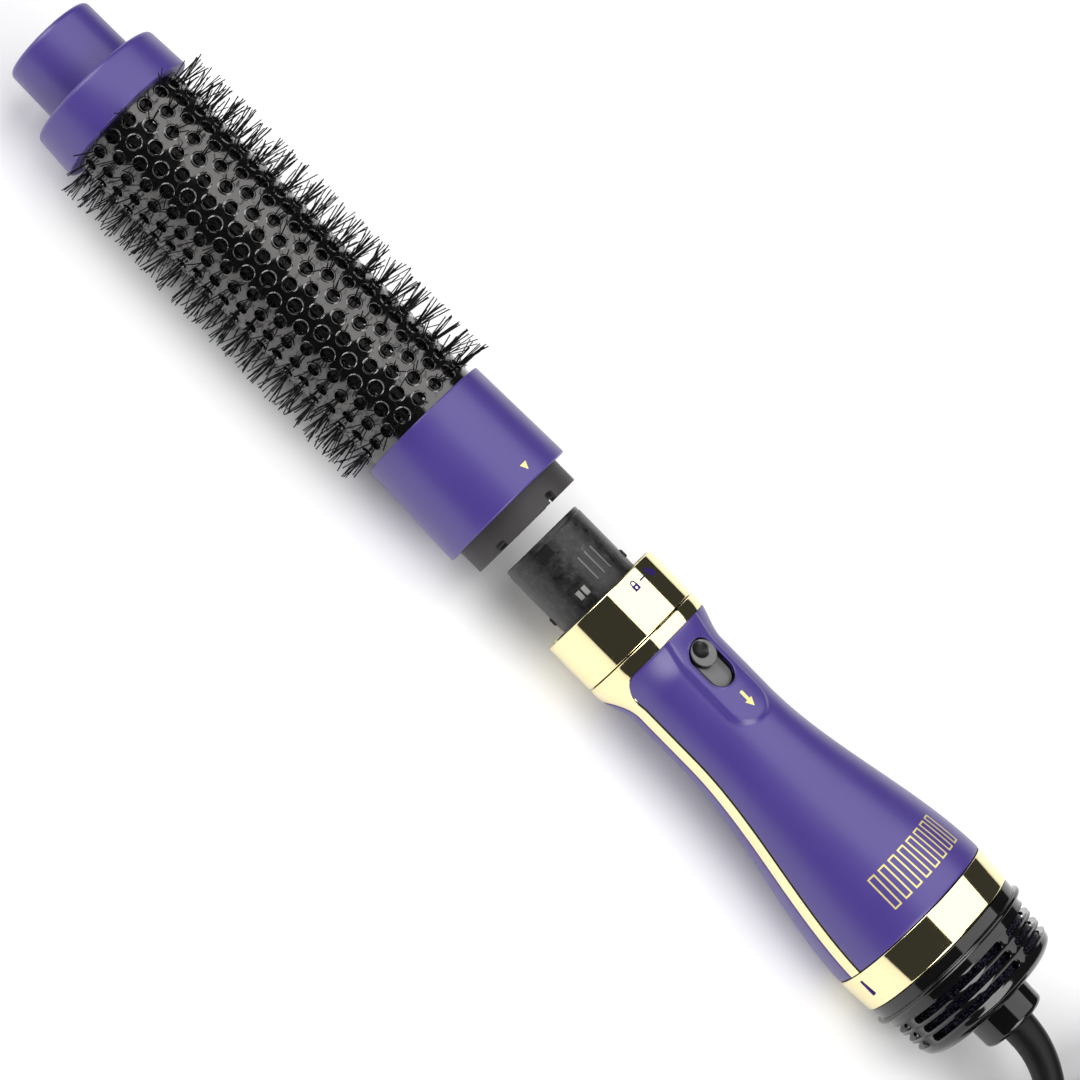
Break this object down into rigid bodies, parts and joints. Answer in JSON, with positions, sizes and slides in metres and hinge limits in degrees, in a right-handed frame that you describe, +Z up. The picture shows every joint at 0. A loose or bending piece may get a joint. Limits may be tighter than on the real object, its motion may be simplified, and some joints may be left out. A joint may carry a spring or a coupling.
{
  "type": "hot air brush",
  "caption": "Round thermal hot air brush with a perforated bristled barrel that slides off a slim handle with a lock ring, release slider, rotary selector, air inlet grille and swivel cord.",
  "frame": {"origin": "on the surface the tool lies on, below the middle of the tool without its cord", "axes": "+X along the tool's axis from the cool tip towards the cord, +Z up on the side of the release slider, +Y completes the right-handed set"},
  "size_m": [0.5247, 0.0994, 0.0568],
  "materials": {
    "purple_soft": "soft-touch matte",
    "gold_plate": "mirror pale gold",
    "gold_print": "satin printed gold",
    "navy_print": "printed",
    "barrel_coating": "glossy dark coating",
    "bristle_nylon": "satin filament",
    "skirt_plastic": "fine matte",
    "nozzle_plastic": "mottled satin",
    "black_plastic": "satin",
    "gloss_black": "gloss",
    "slider_grey": "satin",
    "steel": "brushed",
    "nichrome": "drawn wire",
    "mica": "layered board",
    "white_plastic": "satin",
    "circuit_board": "board",
    "wire_red": "matte",
    "mesh_dark": "woven mesh",
    "cord_rubber": "satin",
    "tie_fabric": "woven",
    "plug_plastic": "satin moulded",
    "plug_brass": "satin"
  },
  "bodies": {
    "handle": {"nozzle": "nozzle_plastic", "nozzle_grille": "black_plastic", "heat_sleeve": "mica", "heater_frame": "mica", "heater_coil": "nichrome", "thermostat": "steel", "thermal_fuse": "steel", "trim_frame": "gold_plate", "front_shell": "purple_soft", "rear_shell": "purple_soft", "shell_screws": "steel", "arrow_mark": "gold_print", "release_spring": "steel", "spring_stop": "black_plastic", "motor_can": "steel", "motor_mount": "black_plastic", "stator_vanes": "black_plastic", "speed_switch": "circuit_board", "inner_leads": "wire_red", "tail_hub": "gloss_black", "filter_mesh": "mesh_dark", "inlet_grille": "gloss_black", "strain_relief": "cord_rubber", "mains_cord": "cord_rubber", "cord_coil": "cord_rubber", "cord_tie": "tie_fabric", "plug_body": "plug_plastic", "plug_pins": "plug_brass"},
    "head": {"tip_cap": "purple_soft", "tip_screw": "steel", "tip_collar": "purple_soft", "barrel_end_plug": "black_plastic", "barrel_tube": "barrel_coating", "bristle_strips": "bristle_nylon", "air_core": "black_plastic", "lower_collar": "purple_soft", "head_skirt": "skirt_plastic", "collar_screws": "steel", "pointer_mark": "gold_print"},
    "lock_ring": {"lock_ring": "gold_plate", "lock_marks": "navy_print"},
    "release": {"release_slider": "slider_grey", "latch_bar": "steel"},
    "selector": {"selector_ring": "gold_plate", "selector_mark": "navy_print"},
    "fan": {"fan_shaft": "steel", "fan_impeller": "white_plastic"},
    "swivel": {"swivel_gland": "gloss_black", "swivel_clip": "steel"}
  },
  "joints": [
    {"name": "head_slide", "type": "slide", "parent": "handle", "child": "head", "axis": [1, 0, 0], "range_m": [-0.2, 0.0372]},
    {"name": "lock_ring_turn", "type": "hinge", "parent": "handle", "child": "lock_ring", "pos_m": [0.0361, 0, 0.0284], "axis": [1, 0, 0], "range_deg": [-25, 0]},
    {"name": "release_slide", "type": "slide", "parent": "handle", "child": "release", "axis": [1, 0, 0], "range_m": [0, 0.0065], "stiffness_N_per_m": 400, "springref_m": -0.002, "deforming": ["release_spring"]},
    {"name": "selector_turn", "type": "hinge", "parent": "handle", "child": "selector", "pos_m": [0.1611, 0, 0.0284], "axis": [1, 0, 0], "range_deg": [0, 75]},
    {"name": "fan_spin", "type": "hinge", "parent": "handle", "child": "fan", "pos_m": [0.1411, 0, 0.0284], "axis": [1, 0, 0], "continuous": true},
    {"name": "swivel_turn", "type": "hinge", "parent": "handle", "child": "swivel", "pos_m": [0.1931, 0, 0.0284], "axis": [1, 0, 0], "continuous": true}
  ]
}
